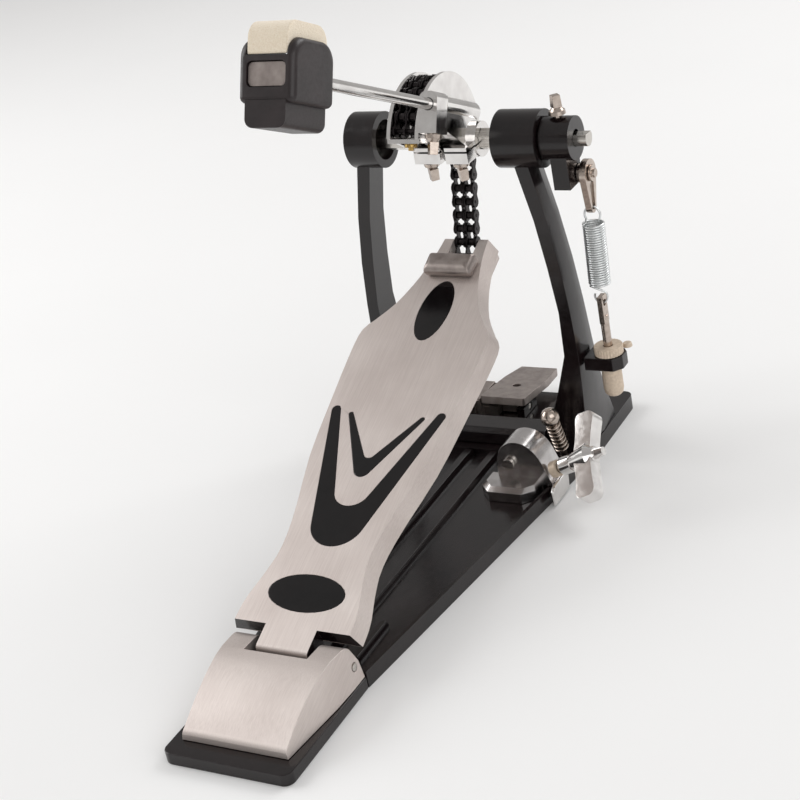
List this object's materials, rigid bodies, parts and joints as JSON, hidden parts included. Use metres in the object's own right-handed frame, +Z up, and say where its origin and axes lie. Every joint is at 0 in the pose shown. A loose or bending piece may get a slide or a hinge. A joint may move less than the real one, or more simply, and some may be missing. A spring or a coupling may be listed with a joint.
{
  "type": "bass drum pedal",
  "caption": "Chain-drive bass drum pedal with a ribbed base plate, brushed footboard, side spring and felt-faced beater.",
  "frame": {"origin": "on the floor, on the centre plane, straight below the rocker shaft", "axes": "+X towards the spring side, +Y towards the drum, +Z up"},
  "size_m": [0.1571, 0.3667, 0.3012],
  "materials": {
    "black_paint": "glossy black enamel on cast iron",
    "brushed_aluminium": "brushed, clear coated",
    "chrome": "polished plate",
    "steel": "turned and zinc plated",
    "nickel": "nickel plated",
    "gunmetal": "dark grey plated casting",
    "chain_black": "blued roller chain",
    "tan_metal": "tan zinc plate",
    "brass": "turned",
    "moulded": "moulded, fine grain",
    "inlay_black": "glossy black inlay",
    "felt": "pressed wool felt"
  },
  "bodies": {
    "base": {"heel_base": "black_paint", "base_plate": "black_paint", "heel_plate": "brushed_aluminium", "hinge_pin": "steel", "upright_left": "black_paint", "upright_right": "black_paint", "bearing_left": "steel", "bearing_right": "steel", "cross_member": "black_paint", "adjuster_bracket": "black_paint", "adjuster_tube": "tan_metal", "bracket_screw": "tan_metal", "clamp_block": "gunmetal", "clamp_cheek": "black_paint", "jaw_pin": "steel", "lever_housing": "chrome", "lever_rivet": "steel", "lever_edge_plate": "nickel", "lever_bushing": "brass"},
    "treadle": {"footboard": "brushed_aluminium", "inlay_oval_toe": "inlay_black", "inlay_oval_heel": "inlay_black", "inlay_v_large": "inlay_black", "inlay_v_small": "inlay_black", "toe_stop": "gunmetal"},
    "rocker": {"rocker_shaft": "steel", "shaft_end_screw": "steel", "chain_cam": "chrome", "cam_clamp_screw": "nickel", "chain_anchor_screw": "brass", "beater_holder": "chrome", "beater_set_screw": "nickel", "holder_clamp_screw": "nickel", "chain_wrapped": "chain_black", "spring_arm": "black_paint", "spring_arm_screw": "nickel", "spring_pin": "nickel"},
    "rod": {"beater_rod": "chrome"},
    "beater": {"beater_head": "moulded", "beater_badge": "gunmetal", "beater_felt": "felt"},
    "upper_links": {"chain_link_5": "chain_black", "chain_link_4": "chain_black"},
    "lower_links": {"chain_link_3": "chain_black", "chain_link_2": "chain_black"},
    "chain": {"chain_link_1": "chain_black", "chain_free": "chain_black"},
    "spring_hanger": {"spring_link": "nickel"},
    "spring": {"return_spring": "steel"},
    "eye": {"eye_rod": "nickel"},
    "nut": {"adjuster_nut": "tan_metal"},
    "jaw": {"clamp_jaw": "gunmetal"},
    "wing": {"wing_bolt": "chrome"},
    "spur_right": {"spur_screw_right": "nickel", "spur_spring_right": "steel"},
    "spur_left": {"spur_screw_left": "nickel", "spur_spring_left": "steel"}
  },
  "joints": [
    {"name": "treadle_hinge", "type": "hinge", "parent": "base", "child": "treadle", "pos_m": [0, -0.229, 0.015], "axis": [1, 0, 0], "range_deg": [-7.4, 0.1]},
    {"name": "rocker_swing", "type": "hinge", "parent": "base", "child": "rocker", "pos_m": [0, 0, 0.188], "axis": [1, 0, 0], "range_deg": [-65, 0], "stiffness_Nm_per_rad": 0.3, "springref_deg": 34.38},
    {"name": "rod_height", "type": "slide", "parent": "rocker", "child": "rod", "axis": [0, -0.9056, 0.4242], "range_m": [-0.002, 0.012]},
    {"name": "beater_turn", "type": "hinge", "parent": "rod", "child": "beater", "pos_m": [0.0164, 0.00581, 0.20041], "axis": [0, -0.9056, 0.4242], "continuous": true},
    {"name": "chain_bend_upper", "type": "hinge", "parent": "rocker", "child": "upper_links", "pos_m": [0, 0.00947, 0.21576], "axis": [1, 0, 0], "range_deg": [-0.1, 17.7]},
    {"name": "chain_bend_middle", "type": "hinge", "parent": "upper_links", "child": "lower_links", "pos_m": [0, 0.01908, 0.20465], "axis": [1, 0, 0], "range_deg": [-0.1, 28.2]},
    {"name": "chain_bend_lower", "type": "hinge", "parent": "lower_links", "child": "chain", "pos_m": [0, 0.0225, 0.19035], "axis": [1, 0, 0], "range_deg": [-0.1, 27.6]},
    {"name": "hanger_swing", "type": "hinge", "parent": "rocker", "child": "spring_hanger", "pos_m": [0.078, 0.005, 0.167], "axis": [1, 0, 0], "range_deg": [-0.1, 82]},
    {"name": "spring_stretch", "type": "slide", "parent": "spring_hanger", "child": "spring", "axis": [0, -0.0707, -0.9975], "range_m": [-0.0001, 0.0095], "deforming": ["return_spring"]},
    {"name": "eye_rod_draw", "type": "slide", "parent": "base", "child": "eye", "axis": [0, 0, 1], "range_m": [-0.0008, 0.0008]},
    {"name": "tension_nut_turn", "type": "hinge", "parent": "base", "child": "nut", "pos_m": [0.078, 0, 0.068], "axis": [0, 0, 1], "range_deg": [-362, 362]},
    {"name": "wing_turn", "type": "hinge", "parent": "base", "child": "wing", "pos_m": [0.0559, -0.047, 0.017], "axis": [0.9063, 0, 0.4226], "range_deg": [0, 720]},
    {"name": "jaw_rock", "type": "hinge", "parent": "base", "child": "jaw", "pos_m": [0, 0.028, 0.0128], "axis": [1, 0, 0], "range_deg": [-0.1, 8.1]},
    {"name": "spur_right_screw", "type": "slide", "parent": "base", "child": "spur_right", "axis": [0, -0.342, 0.9397], "range_m": [0, 0.006]},
    {"name": "spur_left_screw", "type": "slide", "parent": "base", "child": "spur_left", "axis": [0, -0.342, 0.9397], "range_m": [0, 0.006]}
  ],
  "couplings": [
    {"joint": "treadle_hinge", "follows": "rocker_swing", "ratio": 0.11031},
    {"joint": "chain_bend_upper", "follows": "rocker_swing", "ratio": -0.2631},
    {"joint": "chain_bend_middle", "follows": "rocker_swing", "ratio": -0.4215},
    {"joint": "chain_bend_lower", "follows": "rocker_swing", "ratio": -0.4115},
    {"joint": "hanger_swing", "follows": "rocker_swing", "ratio": -1.252},
    {"joint": "spring_stretch", "follows": "rocker_swing", "m_per_rad": -0.00811},
    {"joint": "tension_nut_turn", "follows": "eye_rod_draw", "rad_per_m": 7854},
    {"joint": "jaw_rock", "follows": "wing_turn", "ratio": 0.011111}
  ]
}
